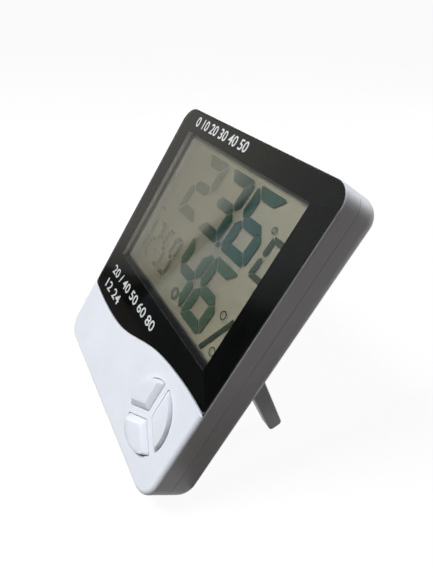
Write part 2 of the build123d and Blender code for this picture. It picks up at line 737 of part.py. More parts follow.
def spring_line():
    """Centre line of the coned contact spring: points and directions at each quarter turn."""
    base_x = -BAY_X + CONTACT_T + WIRE_R
    tip_x = BAY_X - CONTACT_T - NUB_L - CELL_L - WIRE_R
    count = round(SPRING_TURNS * 4)
    spots = []
    for number in range(count + 1):
        share = number / count
        bearing = number * pi / 2
        radius = SPRING_BASE_R + (SPRING_TIP_R - SPRING_BASE_R) * share
        shrink = (SPRING_TIP_R - SPRING_BASE_R) / (SPRING_TURNS * 2 * pi)
        climb = (tip_x - base_x) / (SPRING_TURNS * 2 * pi)
        spot = Vector(
            base_x + (tip_x - base_x) * share,
            CELL_Y + radius * cos(bearing),
            BAY_Z + radius * sin(bearing),
        )
        way = Vector(
            climb,
            shrink * cos(bearing) - radius * sin(bearing),
            shrink * sin(bearing) + radius * cos(bearing),
        )
        spots.append((spot, way.normalized()))
    return spots


def contact_spring():
    """Coned spring that presses on the flat end of the cell."""
    spots = spring_line()
    arcs = []
    for (start, start_way), (end, end_way) in zip(spots, spots[1:]):
        arcs += biarc(start, start_way, end, end_way)
    path = Wire(arcs)
    section = Plane(origin=spots[0][0], z_dir=spots[0][1]) * Circle(WIRE_R)
    turn = (SPRING_BASE_R - SPRING_TIP_R) / SPRING_TURNS
    rise = (spots[-1][0].X - spots[0][0].X) / SPRING_TURNS
    print("least gap between the spring's turns", round(hypot(turn, rise) - 2 * WIRE_R, 2))
    return sweep(section, path=path)


# Stand
def hinge_polar(radius, angle):
    """Point in y and z at a distance and an angle from the hinge axis."""
    return (HINGE_Y + radius * cos(radians(angle)), HINGE_Z + radius * sin(radians(angle)))


def bar_outline():
    """Section of the hinge bar: flush outside, round inside, with the heel that stops it."""
    rise = sqrt(HEEL_R**2 - HINGE_INSET**2)
    flush_angle = degrees(atan2(rise, HINGE_INSET))
    heel_angle = 180 - OPEN_ANGLE - degrees(acos(BARREL_R / HEEL_R))
    foot = HINGE_Z - BARREL_R
    heel = hinge_polar(HEEL_R, heel_angle)
    heel_end = hinge_polar(BARREL_R, 180 - OPEN_ANGLE)
    over = ThreePointArc(
        (CASE_D, HINGE_Z + rise), hinge_polar(HEEL_R, (flush_angle + heel_angle) / 2), heel
    )
    under = ThreePointArc(
        heel_end, hinge_polar(BARREL_R, (450 - OPEN_ANGLE) / 2), (HINGE_Y, foot)
    )
    edges = [
        Line((CASE_D, foot), (CASE_D, HINGE_Z + rise)),
        over,
        Line(heel, heel_end),
        under,
        Line((HINGE_Y, foot), (CASE_D, foot)),
    ]
    return make_face(Curve() + edges)


def leg_outline():
    """Side view of a leg, folded: flush outside, thinner towards its rounded tip."""
    corners = Polyline(
        (CASE_D, HINGE_Z),
        (CASE_D, LEG_TIP_Z),
        (CASE_D - LEG_TIP_T, LEG_TIP_Z),
        (CASE_D - LEG_BASE_T, HINGE_Z - BARREL_R),
        (CASE_D - LEG_BASE_T, HINGE_Z),
        close=True,
    )
    face = make_face(corners)
    return fillet(face.vertices().group_by(Axis.Y)[0], LEG_TIP_R)


def folded_stand():
    """Stand as it lies in the back: hinge bar, two legs and a pivot at each end."""
    stand = beam(bar_outline(), -LEG_OUT, LEG_OUT)
    for side in (-1, 1):
        left, right = sorted((side * LEG_IN, side * LEG_OUT))
        leg = beam(leg_outline(), left, right)
        sides = leg.faces().group_by(Axis.X)
        leg = fillet(sides[0].edges() + sides[-1].edges(), LEG_EDGE_R)
        stand += leg
    reach = LEG_OUT + STAND_GAP + STAND_WALL - PIVOT_EDGE
    return stand + beam(Pos(HINGE_Y, HINGE_Z) * Circle(PIVOT_R), -reach, reach)


def open_stand():
    """Stand swung out to its stop."""
    swing = Pos(0, HINGE_Y, HINGE_Z) * Rot(OPEN_ANGLE, 0, 0) * Pos(0, -HINGE_Y, -HINGE_Z)
    return swing * folded_stand()


# Screws
def screw(across, up, seat, head_r, head_t, shank_r, length, slot_deep):
    """Screw driven from the back, its head seated at a depth, with a crossed recess."""
    body = rod(across, up, head_r, seat, seat + head_t)
    body += rod(across, up, shank_r, seat - length, seat)
    cross = Rectangle(2 * head_r * RECESS_SHARE, HEAD_SLOT_W)
    cross += Rectangle(HEAD_SLOT_W, 2 * head_r * RECESS_SHARE)
    top = seat + head_t
    return body - slab(Pos(across, up) * cross, top - slot_deep, top + OVERRUN)


def case_screws():
    """Four screws that close the case, deep in their wells."""
    sizes = (HEAD_R, HEAD_T, SCREW_R, SCREW_L, HEAD_SLOT_DEEP)
    return Part() + [screw(*place, WELL_FLOOR_Y, *sizes) for place in CASE_SCREWS]


def board_screws():
    """Four screws that hold the board and the display frame to the front shell."""
    head = (BOARD_HEAD_R, BOARD_HEAD_T)
    sizes = (*head, BOARD_SCREW_R, BOARD_SCREW_L, BOARD_HEAD_SLOT_DEEP)
    return Part() + [screw(*place, BOARD_BACK, *sizes) for place in BOARD_SCREWS]


# Standing pose: the clock leans back until its rounded lower rear edge and the tips of
# the open legs both touch the table
def lean_angle():
    """Angle of the back from upright, from the line that touches both roundings."""
    taper = atan((LEG_BASE_T - LEG_TIP_T) / (LEG_L - BARREL_R))
    tip_y = HINGE_INSET - LEG_TIP_T + LEG_TIP_R * (1 / cos(taper) - tan(taper))
    tip_z = LEG_TIP_R - LEG_L
    turn = radians(OPEN_ANGLE)
    open_y = HINGE_Y + tip_y * cos(turn) - tip_z * sin(turn)
    open_z = HINGE_Z + tip_y * sin(turn) + tip_z * cos(turn)
    run = open_y - (CASE_D - BACK_EDGE_R)
    rise = open_z - BACK_EDGE_R
    return atan2(rise, run) + asin((BACK_EDGE_R - LEG_TIP_R) / hypot(run, rise))


LEAN = lean_angle()
LEAN_COS, LEAN_SIN = cos(LEAN), sin(LEAN)
NEAREST = FRONT_EDGE_R * (LEAN_COS + LEAN_SIN - 1)
FARTHEST = (
    (CASE_D - BACK_EDGE_R) * LEAN_COS + (CASE_H - BACK_EDGE_R) * LEAN_SIN + BACK_EDGE_R
)
LOWEST = BACK_EDGE_R * LEAN_COS - (CASE_D - BACK_EDGE_R) * LEAN_SIN - BACK_EDGE_R
STANDING = Pos(0, -(NEAREST + FARTHEST) / 2, -LOWEST) * Rot(-degrees(LEAN), 0, 0)

pieces = {
    "front_shell": front_shell(),
    "rear_shell": rear_shell(),
    "window_lens": window_lens(),
    "lens_mask": lens_mask(),
    "lens_tape": lens_tape(),
    "display_front_film": front_film(),
    "display_front_glass": glass_plate(FRONT_GLASS_Y, GLASS_T),
    "display_rear_glass": glass_plate(REAR_GLASS_Y, GLASS_T, GLASS_H - 2 * CONTACT_LEDGE),
    "display_reflector": glass_plate(REFLECTOR_Y, REFLECTOR_T, GLASS_H - 2 * CONTACT_LEDGE),
    "display_frame": lcd_frame(),
    "contact_strip_upper": zebra_strip(1),
    "contact_strip_lower": zebra_strip(-1),
    "main_board": main_board(),
    "controller_blob": controller_blob(),
    "clock_crystal": crystal(),
    "capacitor": capacitor(),
    "chip_parts": chip_parts(),
    "humidity_sensor": humidity_sensor(),
    "temperature_sensor": thermistor(),
    "sounder_disc": sounder(),
    "battery_cell": battery_cell(),
    "battery_contact_plate": contact_plate(1),
    "battery_spring_plate": contact_plate(-1),
    "battery_spring": contact_spring(),
    "battery_door": battery_door(),
    "kickstand": open_stand(),
    "case_screws": case_screws(),
    "board_screws": board_screws(),
}
for name, angle in KEY_ANGLES.items():
    pieces["button_" + name] = key_cap(angle)
    pieces["switch_body_" + name] = switch_body(angle)
    pieces["switch_plunger_" + name] = switch_plunger(angle)

os.makedirs("parts", exist_ok=True)
for name, piece in pieces.items():
    export_step(STANDING * piece, "parts/" + name + ".step")
print("lean", round(degrees(LEAN), 2), "nodes", len(pieces))
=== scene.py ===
import json
from math import cos, pi, sin

import bmesh
import bpy
from mathutils import Matrix, Vector


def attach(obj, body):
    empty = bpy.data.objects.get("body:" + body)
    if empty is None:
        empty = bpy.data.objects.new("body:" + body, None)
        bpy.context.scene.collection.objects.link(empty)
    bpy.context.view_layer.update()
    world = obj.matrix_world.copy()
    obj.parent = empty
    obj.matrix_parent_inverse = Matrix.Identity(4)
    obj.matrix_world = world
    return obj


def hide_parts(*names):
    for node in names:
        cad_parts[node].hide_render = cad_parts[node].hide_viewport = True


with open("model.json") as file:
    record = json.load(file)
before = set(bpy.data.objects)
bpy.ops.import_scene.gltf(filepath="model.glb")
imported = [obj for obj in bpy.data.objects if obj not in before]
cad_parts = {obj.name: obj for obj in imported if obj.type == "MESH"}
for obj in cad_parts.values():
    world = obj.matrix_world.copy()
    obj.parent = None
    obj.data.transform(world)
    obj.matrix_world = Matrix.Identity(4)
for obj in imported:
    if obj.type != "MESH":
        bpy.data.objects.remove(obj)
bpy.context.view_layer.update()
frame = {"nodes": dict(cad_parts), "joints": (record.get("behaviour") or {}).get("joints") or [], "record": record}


def turned(x, y, z):
    """Rotation that takes the three axes to these directions."""
    return Matrix((x, y, z)).transposed().to_4x4()


# Every piece made here is drawn on the upright clock, in millimetres: x to the right, y from
# the face to the back, z up from the underside. CLOCK takes such a point to the frame.
MM = 0.001
joints = {joint["name"]: joint for joint in frame["joints"]}
mounts = {mount["name"]: mount for mount in frame["record"]["mounts"]}
RIGHT = Vector((1, 0, 0))
BACK = Vector(joints["door_lift"]["axis"]).normalized()
UP = RIGHT.cross(BACK)
FOOT_MOUNT_Y = 5.5
FOOT = Vector(mounts["bottom_face"]["pos_m"]) - BACK * FOOT_MOUNT_Y * MM
CLOCK = Matrix.Translation(FOOT) @ turned(RIGHT, BACK, UP) @ Matrix.Scale(MM, 4)


def span(node):
    """Lowest and highest corner of a CAD node, in the clock's own millimetres."""
    inverse = CLOCK.inverted()
    points = [inverse @ vertex.co for vertex in frame["nodes"][node].data.vertices]
    return (
        Vector([min(point[axis] for point in points) for axis in range(3)]),
        Vector([max(point[axis] for point in points) for axis in range(3)]),
    )


glass_low, glass_high = span("display_front_glass")
rear_glass_low, rear_glass_high = span("display_rear_glass")
lens_low, lens_high = span("window_lens")
mask_low, mask_high = span("lens_mask")
frame_low, frame_high = span("display_frame")
reflector_low = span("display_reflector")[0]


# Materials
class Shader:
    """Node tree of a material or the world, with short calls for the nodes used here."""

    def __init__(self, owner, output="ShaderNodeOutputMaterial"):
        self.owner = owner
        owner.use_nodes = True
        self.tree = owner.node_tree
        self.tree.nodes.clear()
        self.output = self.add(output)

    def add(self, kind, links=None, **values):
        """New node. links gives each input a socket or a plain value, values are its settings."""
        node = self.tree.nodes.new(kind)
        for key, value in values.items():
            setattr(node, key, value)
        for socket, source in (links or {}).items():
            if isinstance(source, bpy.types.NodeSocket):
                self.tree.links.new(source, node.inputs[socket])
            else:
                node.inputs[socket].default_value = source
        return node

    def point(self):
        """The shaded point in its own object, in metres."""
        return self.add("ShaderNodeTexCoord").outputs["Object"]

    def split(self):
        """The shaded point's X, Y and Z."""
        return self.add("ShaderNodeSeparateXYZ", {"Vector": self.point()}).outputs

    def math(self, operation, *values):
        return self.add("ShaderNodeMath", dict(enumerate(values)), operation=operation).outputs[0]

    def grade(self, value, start, end, first=0.0, last=1.0):
        """first where value is start, last where it is end, and straight between them."""
        node = self.add("ShaderNodeMapRange", {
            "Value": value, "From Min": start, "From Max": end, "To Min": first, "To Max": last,
        })
        return node.outputs["Result"]

    def ramp(self, factor, stops):
        """Colour along factor. Each stop is a place with a colour or a grey level."""
        node = self.add("ShaderNodeValToRGB", {"Fac": factor})
        elements = node.color_ramp.elements
        while len(elements) < len(stops):
            elements.new(1.0)
        for element, (place, colour) in zip(elements, stops):
            element.position = place
            element.color = (*(colour if isinstance(colour, tuple) else (colour,) * 3), 1.0)
        return node.outputs["Color"]

    def noise(self, scale, detail=3.0):
        node = self.add(
            "ShaderNodeTexNoise", {"Vector": self.point(), "Scale": scale, "Detail": detail}
        )
        return node.outputs["Fac"]

    def mottle(self, scale, first, second, detail=3.0, between=(0.3, 0.7)):
        """Noise that wanders between two colours or grey levels."""
        start, end = between
        return self.ramp(self.noise(scale, detail), [(start, first), (end, second)])

    def bump(self, height, distance):
        node = self.add("ShaderNodeBump", {"Height": height, "Distance": distance})
        return node.outputs["Normal"]

    def along(self, axis):
        """The shaded point's place along one of the clock's axes, in the frame's metres."""
        node = self.add(
            "ShaderNodeVectorMath", {0: self.point(), 1: tuple(axis)}, operation="DOT_PRODUCT"
        )
        return node.outputs["Value"]

    def rise(self, axis, start, end, first=0.0, last=1.0):
        """first at start and last at end of a stretch in the clock's own millimetres."""
        base = FOOT.dot(axis)
        return self.grade(self.along(axis), base + start * MM, base + end * MM, first, last)

    def in_box(self, low, high):
        """1 inside a box given in the clock's own millimetres, 0 outside it."""
        share = 1.0
        for axis, start, end in zip((RIGHT, BACK, UP), low, high):
            middle = FOOT.dot(axis) + (start + end) / 2 * MM
            near = self.math("COMPARE", self.along(axis), middle, (end - start) / 2 * MM)
            share = self.math("MULTIPLY", near, share)
        return share

    def seen(self):
        """1 where the camera looks, straight, in gloss or through glass, and 0 for light."""
        path = self.add("ShaderNodeLightPath").outputs
        direct = self.math("MAXIMUM", path["Is Camera Ray"], path["Is Glossy Ray"])
        return self.math("MAXIMUM", direct, path["Is Transmission Ray"])

    def blend(self, factor, first, second, blend_type="MIX"):
        """One colour of two."""
        links = {"Fac": factor, "Color1": first, "Color2": second}
        return self.add("ShaderNodeMixRGB", links, blend_type=blend_type).outputs[0]

    def mix(self, factor, first, second):
        """One surface of two."""
        return self.add("ShaderNodeMixShader", {0: factor, 1: first, 2: second}).outputs["Shader"]

    def principled(self, colour, roughness, normal=None, **more):
        links = {"Base Color": colour, "Roughness": roughness}
        if normal:
            links["Normal"] = normal
        links.update({key.replace("_", " "): value for key, value in more.items()})
        return self.add("ShaderNodeBsdfPrincipled", links).outputs["BSDF"]

    def done(self, surface):
        self.tree.links.new(surface, self.output.inputs["Surface"])
        return self.owner


def material(name):
    return Shader(bpy.data.materials.new(name))


def tint(colour, share):
    return tuple(min(1.0, part * share) for part in colour)


# Noise scales are per metre: one of 5200 is a grain of about 0.2 mm
PLASTIC_IOR = 1.5
TONE_SCALE, TONE_SPREAD = 60.0, 0.03
GLOSS_SCALE, GLOSS_SPREAD = 900.0, 0.06
GRAIN_SCALE, GRAIN_HEIGHT = 5200.0, 0.00002
SOFT_RADIUS = (1.0, 0.95, 0.9)


def moulded(name, colour, roughness=0.42, shine=0.5, soft=0.0, boxes=()):
    """Moulded plastic: fine spark-eroded grain, and a slow change of tone and gloss.

    Light goes as deep into it as soft says, in metres. boxes are (low, high, colour) in the
    clock's millimetres, where painted shade gives it another tone.
    """
    shader = material(name)
    tone = shader.mottle(
        TONE_SCALE, tint(colour, 1 - TONE_SPREAD), tint(colour, 1 + TONE_SPREAD), detail=4.0
    )
    # Painted shade laid into the tone inside each box
    for low, high, other in boxes:
        tone = shader.blend(shader.in_box(low, high), tone, (*other, 1.0))
    dull, glossy = roughness + GLOSS_SPREAD, roughness - GLOSS_SPREAD
    gloss = shader.mottle(GLOSS_SCALE, glossy, dull, detail=2.0, between=(0.2, 0.8))
    grain = shader.bump(shader.noise(GRAIN_SCALE, detail=2.0), GRAIN_HEIGHT)
    light = {"IOR": PLASTIC_IOR, "Specular_IOR_Level": shine}
    if soft:
        light.update(Subsurface_Weight=1.0, Subsurface_Radius=SOFT_RADIUS, Subsurface_Scale=soft)
    return shader.done(shader.principled(tone, gloss, grain, **light))


METAL_TONE_SCALE = 300.0
METAL_GRAIN_SCALE, METAL_GRAIN_HEIGHT = 2500.0, 0.00001


def metal(name, colour, roughness):
    """Plated or rolled metal with a fine grain."""
    shader = material(name)
    tone = shader.mottle(METAL_TONE_SCALE, tint(colour, 0.9), tint(colour, 1.08))
    grain = shader.bump(shader.noise(METAL_GRAIN_SCALE), METAL_GRAIN_HEIGHT)
    return shader.done(shader.principled(tone, roughness, grain, Metallic=1.0))


def clear(name, colour, gloss, ior=1.49, smear=0.05):
    """Clear sheet: light goes straight through it, and its outer side reflects by angle."""
    shader = material(name)
    through = shader.add("ShaderNodeBsdfTransparent", {"Color": (*colour, 1.0)})
    rough = shader.mottle(scale=45.0, first=gloss, second=gloss + smear, between=(0.35, 0.75))
    shine = shader.add("ShaderNodeBsdfGlossy", {"Color": (1, 1, 1, 1), "Roughness": rough})
    fresnel = shader.add("ShaderNodeFresnel", {"IOR": ior}).outputs["Fac"]
    inside = shader.add("ShaderNodeNewGeometry").outputs["Backfacing"]
    share = shader.math("MULTIPLY", fresnel, shader.math("SUBTRACT", 1.0, inside))
    return shader.done(shader.mix(share, through.outputs["BSDF"], shine.outputs["BSDF"]))


def ink(name, colour, cover, between=(-1.0, 1.0)):
    """Thin see-through layer. cover is its strength at the two x of between, in millimetres, a painted fading
    where glare pales the layer.
    """
    shader = material(name)
    through = shader.add("ShaderNodeBsdfTransparent").outputs["BSDF"]
    tone = shader.mottle(scale=800.0, first=tint(colour, 0.9), second=tint(colour, 1.1))
    body = shader.principled(tone, roughness=0.5, Specular_IOR_Level=0.0)
    return shader.done(shader.mix(shader.rise(RIGHT, *between, *cover), through, body))


def printed_black():
    """Gloss black print: hardly any colour, a faint unevenness in its gloss."""
    shader = material("black_gloss_print")
    tone = shader.mottle(
        scale=120.0, first=(0.0035, 0.0036, 0.0034), second=(0.005, 0.0052, 0.005)
    )
    rough = shader.mottle(scale=70.0, first=0.06, second=0.12)
    return shader.done(shader.principled(tone, rough, Specular_IOR_Level=0.0))


# Where the painted light and shade across the reflector start and end, in x
REFLECTOR_ENDS = (-42.0, 35.0)
REFLECTOR_SHADE_HEIGHT = 1.8


def reflector_with_painted_light():
    """Rear reflector of the display: silvery grain, with a painted highlight at its far left edge, painted shade
    beside it that pales towards the right, and painted shade at the foot.
    """
    shader = material("display_reflector_grain_and_painted_light")
    grain = shader.mottle(scale=3500.0, first=0.92, second=1.0, detail=2.0)
    # Painted light and shade across the display: a bright strip at the far left end, then shade that pales towards
    # the right
    slope = shader.ramp(shader.rise(RIGHT, *REFLECTOR_ENDS), [
        (0.0, (0.9, 0.86, 0.83)),
        (0.012, (0.9, 0.86, 0.83)),
        (0.018, (0.28, 0.26, 0.245)),
        (0.08, (0.3, 0.28, 0.262)),
        (0.15, (0.39, 0.355, 0.33)),
        (1.0, (0.84, 0.79, 0.755)),
    ])
    # Painted shade along the foot of the display
    foot = shader.ramp(
        shader.rise(UP, reflector_low.z, reflector_low.z + REFLECTOR_SHADE_HEIGHT),
        [(0.0, 0.1), (0.38, 0.14), (0.42, 0.6), (0.85, 0.95), (1.0, 1.0)],
    )
    tone = shader.blend(1.0, slope, grain, "MULTIPLY")
    tone = shader.blend(1.0, tone, foot, "MULTIPLY")
    return shader.done(shader.principled(tone, roughness=0.6))


WHITE = (0.78, 0.81, 0.87)
# Colours of painted shade, laid into the plastics' tone inside boxes
PAINTED_SHADE_BLACK = (0.02, 0.02, 0.02)
PAINTED_WELL_SHADE = (0.72, 0.69, 0.66)
PAINTED_FRAME_SHADE = (0.3, 0.3, 0.28)

# Painted shade on the front shell: the foot and the left wall of the display's well are
# darkened, and the thin rim round the lens, above the wave and down its left end, is painted black.
WELL_FOOT_HEIGHT = 0.9
WELL_LEFT_START, WELL_LEFT_END, WELL_LEFT_INSET = -0.5, 3.0, 1.0
RIM_FRONT, RIM_BACK = -0.01, 0.07
RIM_MARGIN, RIM_LEFT_FOOT, RIM_LEFT_TOP, RIM_LEFT_WIDTH = 1.0, 2.0, 11.0, 8.0
# Painted shade: the foot of the display's well is painted black
painted_shade_well_foot = (
    (glass_low.x, mask_high.y, glass_low.z),
    (glass_high.x, glass_low.y, glass_low.z + WELL_FOOT_HEIGHT),
    PAINTED_SHADE_BLACK,
)
# Painted shade: the left wall of the display's well is made darker
painted_shade_well_left = (
    (glass_low.x + WELL_LEFT_START, lens_high.y, glass_low.z + WELL_LEFT_INSET),
    (glass_low.x + WELL_LEFT_END, glass_low.y, glass_high.z - WELL_LEFT_INSET),
    PAINTED_WELL_SHADE,
)
# Painted shade: the rim round the lens is painted black where it would show lit
painted_shade_rim_above = (
    (lens_low.x - RIM_MARGIN, lens_low.y + RIM_FRONT, lens_low.z + RIM_LEFT_TOP),
    (lens_high.x + RIM_MARGIN, lens_low.y + RIM_BACK, lens_high.z + RIM_MARGIN),
    PAINTED_SHADE_BLACK,
)
painted_shade_rim_left = (
    (lens_low.x - RIM_MARGIN, lens_low.y + RIM_FRONT, lens_low.z + RIM_LEFT_FOOT),
    (lens_low.x + RIM_LEFT_WIDTH, lens_low.y + RIM_BACK, lens_low.z + RIM_LEFT_TOP),
    PAINTED_SHADE_BLACK,
)
# Painted shade: the display frame is darkened below the foot of the reflector
painted_shade_frame_foot = (tuple(frame_low), (frame_high.x, frame_high.y, reflector_low.z), PAINTED_FRAME_SHADE)

case_white = moulded("case_plastic", WHITE, shine=0.4)
front_white = moulded(
    "front_plastic_with_painted_shade", WHITE, shine=0.4, boxes=(painted_shade_well_foot, painted_shade_well_left, painted_shade_rim_above, painted_shade_rim_left)
)
key_white = moulded("key_plastic", WHITE, roughness=0.6, shine=0.25, soft=0.002)
# The stand is the case's white made a little darker: painted shade
stand_white_painted_shade = moulded("stand_plastic_painted_shade", tint(WHITE, 0.97), shine=0.4)
lens_clear = clear("lens_clear", (0.97, 0.98, 0.98), gloss=0.02, smear=0.01)
glass_clear = clear("display_glass_clear", (0.97, 0.985, 0.98), gloss=0.02, ior=1.15)
film_tinted = clear("polarizing_film", (0.95, 0.935, 0.87), gloss=0.04, ior=1.6, smear=0.02)
black_print = printed_black()
white_print = moulded("white_print", (0.72, 0.73, 0.74), roughness=0.4)
reflector = reflector_with_painted_light()
frame_plastic = moulded(
    "frame_plastic_pale_with_painted_shade", (0.88, 0.85, 0.84), roughness=0.5, boxes=(painted_shade_frame_foot,)
)
tape = moulded("tape_foam", (0.7, 0.69, 0.64), roughness=0.8)
strip = moulded("strip_rubber_dark", (0.03, 0.03, 0.03), roughness=0.7, shine=0.05)
cell = moulded("cell_jacket_dark", (0.03, 0.05, 0.07), roughness=0.3)
switch_black = moulded("switch_plastic_black", (0.02, 0.02, 0.022), roughness=0.45)
plunger_grey = moulded("plunger_plastic_grey", (0.2, 0.2, 0.2), roughness=0.45)
sensor_blue = moulded("sensor_plastic_blue", (0.05, 0.13, 0.32), roughness=0.5)
resin = moulded("resin_black", (0.008, 0.008, 0.008), roughness=0.15)
board_green = moulded("solder_mask_green", (0.02, 0.14, 0.05), roughness=0.3)
ceramic = moulded("chip_ceramic", (0.16, 0.09, 0.05), roughness=0.5)
sleeve = moulded("capacitor_sleeve_blue", (0.02, 0.03, 0.09), roughness=0.3)
bead = moulded("bead_resin_black", (0.015, 0.015, 0.015), roughness=0.25)
steel = metal("nickel_plate", (0.62, 0.61, 0.58), roughness=0.3)
zinc = metal("zinc_plate", (0.5, 0.5, 0.49), roughness=0.38)
brass = metal("rolled_brass", (0.72, 0.5, 0.2), roughness=0.35)
# The first three inks change strength with x: painted fading that stands in for the glare paling the signs towards
# the left
ink_dark = ink("lcd_ink", (0.02, 0.08, 0.08), cover=(0.15, 0.95), between=(-4.0, 18.0))
ink_low = ink("lcd_ink_low", (0.085, 0.155, 0.13), cover=(0.32, 0.6), between=(-12.0, 12.0))
ink_faint = ink("lcd_ink_faint", (0.1, 0.12, 0.11), cover=(0.2, 0.32), between=(-38.0, -8.0))
ink_line = ink("lcd_line_ink", (0.05, 0.08, 0.07), cover=(0.75, 0.75))

FINISHES = {
    "front_shell": front_white,
    "rear_shell": case_white,
    "window_lens": lens_clear,
    "lens_mask": black_print,
    "lens_tape": tape,
    "display_front_film": film_tinted,
    "display_front_glass": glass_clear,
    "display_rear_glass": glass_clear,
    "display_reflector": reflector,
    "display_frame": frame_plastic,
    "contact_strip_upper": strip,
    "contact_strip_lower": strip,
    "main_board": board_green,
    "controller_blob": resin,
    "clock_crystal": steel,
    "capacitor": sleeve,
    "chip_parts": ceramic,
    "humidity_sensor": sensor_blue,
    "temperature_sensor": bead,
    "sounder_disc": brass,
    "battery_cell": cell,
    "battery_contact_plate": steel,
    "battery_spring_plate": steel,
    "battery_spring": steel,
    "battery_door": case_white,
    "kickstand": stand_white_painted_shade,
    "case_screws": zinc,
    "board_screws": zinc,
}
for key in ("mode", "adjust", "memory"):
    FINISHES["button_" + key] = key_white
    FINISHES["switch_body_" + key] = switch_black
    FINISHES["switch_plunger_" + key] = plunger_grey
for node, finish in FINISHES.items():
    mesh = frame["nodes"][node].data
    mesh.materials.clear()
    mesh.materials.append(finish)


# Pieces drawn on the clock
def in_scene(name, data):
    """Object of a mesh, curve, lamp or camera, linked into the scene."""
    made = bpy.data.objects.new(name, data)
    bpy.context.scene.collection.objects.link(made)
    return made


def mesh_object(name, bm, finish):
    """Object of a finished bmesh, with its one material."""
    mesh = bpy.data.meshes.new(name)
    bm.to_mesh(mesh)
    bm.free()
    mesh.materials.append(finish)
    return in_scene(name, mesh)


def case_piece(name, bm, finish):
    """Piece of the case, from a bmesh in the clock's own millimetres."""
    bmesh.ops.recalc_face_normals(bm, faces=bm.faces)
    bm.transform(CLOCK)
    made = mesh_object(name, bm, finish)
    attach(made, "case")
    return made


def prism(bm, near, far):
    """Closed solid between two like outlines."""
    first = [bm.verts.new(point) for point in near]
    last = [bm.verts.new(point) for point in far]
    bm.faces.new(first)
    bm.faces.new(last[::-1])
    for number in range(len(first)):
        after = (number + 1) % len(first)
        bm.faces.new((first[number], last[number], last[after], first[after]))


GLASS_CHAMFER = 0.12


def bonded_glass():
    """The display's two glass plates as one bonded piece, the rear one short of the ledges."""
    low, high, rear_low, rear_high = glass_low, glass_high, rear_glass_low, rear_glass_high
    rows = [
        (low.y, low.z + GLASS_CHAMFER),
        (low.y + GLASS_CHAMFER, low.z),
        (high.y, low.z),
        (high.y, rear_low.z),
        (rear_high.y, rear_low.z),
        (rear_high.y, rear_high.z),
        (high.y, rear_high.z),
        (high.y, high.z),
        (low.y + GLASS_CHAMFER, high.z),
        (low.y, high.z - GLASS_CHAMFER),
    ]
    bm = bmesh.new()
    prism(bm, [(low.x, y, z) for y, z in rows], [(high.x, y, z) for y, z in rows])
    made = case_piece("display_cell", bm, glass_clear)
    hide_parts("display_front_glass", "display_rear_glass")


bonded_glass()

# Signs of the display, lit in its liquid between the two glass plates. Places are in x and z.
# a is a sign's top segment, b to f follow clockwise, and g is the middle one.
LIT = {
    "1": "bc", "2": "abged", "3": "abgcd", "4": "fgbc", "5": "afgcd",
    "6": "afgedc", "9": "abcdfg", "C": "afed",
}
SLANT = 0.08
SEGMENT_GAP = 0.42
TIP_SHARE = 0.34
ROUND_STEPS = 24
INK_HALF = 0.02


def segments(sign, left, foot, width, height, thick, gap=SEGMENT_GAP):
    """Lit segments of one seven-segment sign, as closed outlines with blunt tips."""
    half, mid, cut = thick / 2, height / 2, thick * TIP_SHARE
    shapes = {
        "a": [
            (gap + cut, height),
            (width - gap - cut, height),
            (width - gap - cut / 2, height - cut / 2),
            (width - thick - gap, height - thick),
            (thick + gap, height - thick),
            (gap + cut / 2, height - cut / 2),
        ],
        "f": [
            (0, height - gap - cut),
            (cut / 2, height - gap - cut / 2),
            (thick, height - thick - gap),
            (thick, mid + half + gap),
            (half, mid + gap),
            (0, mid + half + gap),
        ],
        "g": [
            (half + gap, mid),
            (thick + gap, mid + half),
            (width - thick - gap, mid + half),
            (width - half - gap, mid),
            (width - thick - gap, mid - half),
            (thick + gap, mid - half),
        ],
    }
    for part, source in (("d", "a"), ("e", "f")):
        shapes[part] = [(x, height - z) for x, z in shapes[source]]
    for part, source in (("b", "f"), ("c", "e")):
        shapes[part] = [(width - x, z) for x, z in shapes[source]]
    return [
        [(left + x + SLANT * (z - mid), foot + z) for x, z in shapes[part]]
        for part in LIT[sign]
    ]


def row(signs, foot, width, height, thick):
    """Signs on one foot line, each given with its left end."""
    return [
        outline
        for sign, left in signs
        for outline in segments(sign, left, foot, width, height, thick)
    ]


def disc(x, z, radius):
    angles = [2 * pi * step / ROUND_STEPS for step in range(ROUND_STEPS)]
    return [(x + radius * cos(angle), z + radius * sin(angle)) for angle in angles]


def ring(x, z, radius, thick):
    """Ring as a row of four-cornered outlines."""
    outer, inner = disc(x, z, radius), disc(x, z, radius - thick)
    return [
        [outer[step], outer[(step + 1) % ROUND_STEPS], inner[(step + 1) % ROUND_STEPS], inner[step]]
        for step in range(ROUND_STEPS)
    ]


def bar(start, end, thick):
    """Straight stroke between two points."""
    a, b = Vector(start), Vector(end)
    side = (b - a).orthogonal().normalized() * thick / 2
    return [tuple(a + side), tuple(b + side), tuple(b - side), tuple(a - side)]


def lit_piece(name, outlines, finish):
    """One piece of ink: thin plates in the liquid, from closed outlines in x and z."""
    bm = bmesh.new()
    front, back = glass_high.y - INK_HALF, glass_high.y + INK_HALF
    for outline in outlines:
        prism(bm, [(x, front, z) for x, z in outline], [(x, back, z) for x, z in outline])
    case_piece(name, bm, finish)


TEMPERATURE_FOOT, DEGREE_FOOT, HUMIDITY_FOOT, TIME_FOOT = 74.1, 74.0, 47.8, 51.1
CIRCLE_LINE = 0.35

